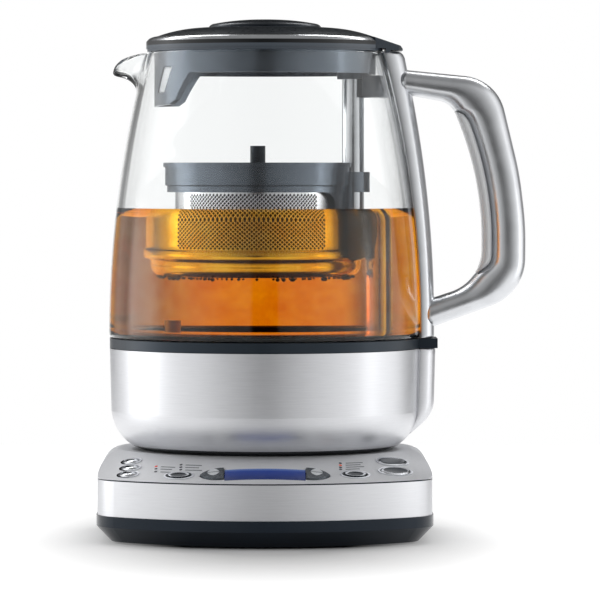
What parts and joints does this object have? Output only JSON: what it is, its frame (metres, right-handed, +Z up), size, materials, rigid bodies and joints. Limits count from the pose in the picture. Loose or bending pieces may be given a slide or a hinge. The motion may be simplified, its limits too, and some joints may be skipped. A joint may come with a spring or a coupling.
{
  "type": "automatic tea maker",
  "caption": "Glass tea maker jug with a motor-lifted brewing basket, steel heater body and loop handle, on a powered base with buttons and display.",
  "frame": {"origin": "on the jug's axis at counter level, in the plane of the feet's undersides", "axes": "+Z up along the jug's axis, -Y towards the control panel, +X towards the handle, -X towards the spout"},
  "size_m": [0.2126, 0.1815, 0.2571],
  "materials": {
    "brushed_steel": "fine brushed stainless steel, grain running round the jug",
    "polished_trim": "bright polished ring",
    "steel_sheet": "thin satin stainless sheet, perforated",
    "heater_steel": "satin stainless plate",
    "handle_metal": "satin silver cast handle",
    "panel_steel": "satin brushed steel panel",
    "charcoal_plastic": "dark charcoal plastic, semi-gloss",
    "grey_plastic": "mid grey heat-resistant plastic, satin",
    "black_plastic": "black plastic, gloss",
    "inner_plastic": "plain grey structural plastic",
    "glass": "clear borosilicate glass",
    "post_steel": "polished stainless steel tube",
    "rubber": "soft black rubber",
    "silicone": "dark grey silicone",
    "button_caps": "dark glossy button caps",
    "bezel_chrome": "bright thin rings round the buttons",
    "display_lens": "blue-lit display window",
    "display_body": "blue display module",
    "lamp": "small indicator lamps, some lit",
    "circuit_board": "green fibreglass board",
    "components": "moulded component cases",
    "copper": "brass contacts",
    "fixings": "plated screws",
    "motor_can": "zinc-plated motor can",
    "magnet": "nickel-plated magnet rings",
    "element": "sheathed heating element",
    "filter_steel": "thin stainless mesh"
  },
  "bodies": {
    "base": {"base_bottom_cover": "charcoal_plastic", "rubber_feet": "rubber", "base_screws": "fixings", "base_side_band": "brushed_steel", "base_seam_ring": "charcoal_plastic", "cord_gland": "rubber", "base_deck": "panel_steel", "button_bezels": "bezel_chrome", "display_window": "display_lens", "display_module": "display_body", "panel_lamps": "lamp", "control_board": "circuit_board", "tact_switches": "components", "power_connector": "black_plastic", "connector_contacts": "copper", "power_board": "circuit_board", "power_board_parts": "components"},
    "jug": {"jug_glass": "glass", "jug_steel_shell": "brushed_steel", "spine_lower_cover": "brushed_steel", "jug_bottom_cover": "black_plastic", "jug_inner_frame": "inner_plastic", "socket_contacts": "copper", "band_seal": "silicone", "heater_plate": "heater_steel", "heating_element": "element", "heat_sensors": "heater_steel", "lift_motor": "motor_can", "lift_gearbox": "inner_plastic", "post_tube": "post_steel", "post_seal": "silicone", "post_bracket": "grey_plastic", "spine": "handle_metal", "handle_shell": "handle_metal", "handle_grip": "handle_metal", "jug_screws": "fixings"},
    "screw": {"lead_screw": "heater_steel"},
    "carriage": {"magnet_carriage": "inner_plastic", "carriage_magnets": "magnet"},
    "basket": {"basket_collar": "grey_plastic", "basket_cup": "steel_sheet", "basket_magnets": "magnet"},
    "basket_cover": {"basket_lid": "grey_plastic", "basket_knob": "black_plastic"},
    "lid": {"lid_cover": "charcoal_plastic", "lid_screws": "fixings", "lid_trim_ring": "polished_trim", "lid_seal": "silicone", "lid_grip": "charcoal_plastic", "lid_skirt": "grey_plastic", "spout_filter": "filter_steel"},
    "small_button_1": {"small_button_1": "button_caps"},
    "small_button_2": {"small_button_2": "button_caps"},
    "small_button_3": {"small_button_3": "button_caps"},
    "select_button_left": {"select_button_left": "button_caps"},
    "select_button_right": {"select_button_right": "button_caps"},
    "large_button_upper": {"large_button_upper": "button_caps"},
    "large_button_lower": {"large_button_lower": "button_caps"},
    "rocker_left": {"rocker_left": "button_caps"},
    "rocker_right": {"rocker_right": "button_caps"}
  },
  "joints": [
    {"name": "jug_lift_off", "type": "slide", "parent": "base", "child": "jug", "axis": [0, 0, 1], "range_m": [0, 0.08]},
    {"name": "lid_lift_off", "type": "slide", "parent": "jug", "child": "lid", "axis": [0, 0, 1], "range_m": [0, 0.05]},
    {"name": "basket_lift", "type": "slide", "parent": "jug", "child": "basket", "axis": [0, 0, 1], "range_m": [-0.024, 0.036]},
    {"name": "carriage_lift", "type": "slide", "parent": "jug", "child": "carriage", "axis": [0, 0, 1], "range_m": [-0.024, 0.036]},
    {"name": "screw_spin", "type": "hinge", "parent": "jug", "child": "screw", "pos_m": [0.044, 0, 0.09], "axis": [0, 0, 1], "range_deg": [-1080, 1620]},
    {"name": "basket_cover_lift", "type": "slide", "parent": "basket", "child": "basket_cover", "axis": [0, 0, 1], "range_m": [0, 0.03]},
    {"name": "small_button_1_press", "type": "slide", "parent": "base", "child": "small_button_1", "axis": [0.233, 0.2003, -0.9516], "range_m": [0, 0.0012], "stiffness_N_per_m": 700},
    {"name": "small_button_2_press", "type": "slide", "parent": "base", "child": "small_button_2", "axis": [0.2146, 0.2199, -0.9516], "range_m": [0, 0.0012], "stiffness_N_per_m": 700},
    {"name": "small_button_3_press", "type": "slide", "parent": "base", "child": "small_button_3", "axis": [0.2006, 0.2327, -0.9516], "range_m": [0, 0.0012], "stiffness_N_per_m": 700},
    {"name": "select_button_left_press", "type": "slide", "parent": "base", "child": "select_button_left", "axis": [0.1273, 0.2796, -0.9516], "range_m": [0, 0.0012], "stiffness_N_per_m": 700},
    {"name": "select_button_right_press", "type": "slide", "parent": "base", "child": "select_button_right", "axis": [-0.1348, 0.2761, -0.9516], "range_m": [0, 0.0012], "stiffness_N_per_m": 700},
    {"name": "large_button_upper_press", "type": "slide", "parent": "base", "child": "large_button_upper", "axis": [-0.2224, 0.212, -0.9516], "range_m": [0, 0.0012], "stiffness_N_per_m": 700},
    {"name": "large_button_lower_press", "type": "slide", "parent": "base", "child": "large_button_lower", "axis": [-0.1992, 0.2339, -0.9516], "range_m": [0, 0.0012], "stiffness_N_per_m": 700},
    {"name": "rocker_left_rock", "type": "hinge", "parent": "base", "child": "rocker_left", "pos_m": [-0.0329, -0.0832, 0.03135], "axis": [1, 0, 0], "range_deg": [-3, 3], "stiffness_Nm_per_rad": 0.1},
    {"name": "rocker_right_rock", "type": "hinge", "parent": "base", "child": "rocker_right", "pos_m": [0.0329, -0.0832, 0.03135], "axis": [1, 0, 0], "range_deg": [-3, 3], "stiffness_Nm_per_rad": 0.1}
  ],
  "couplings": [
    {"joint": "carriage_lift", "follows": "basket_lift", "ratio": 1}
  ]
}
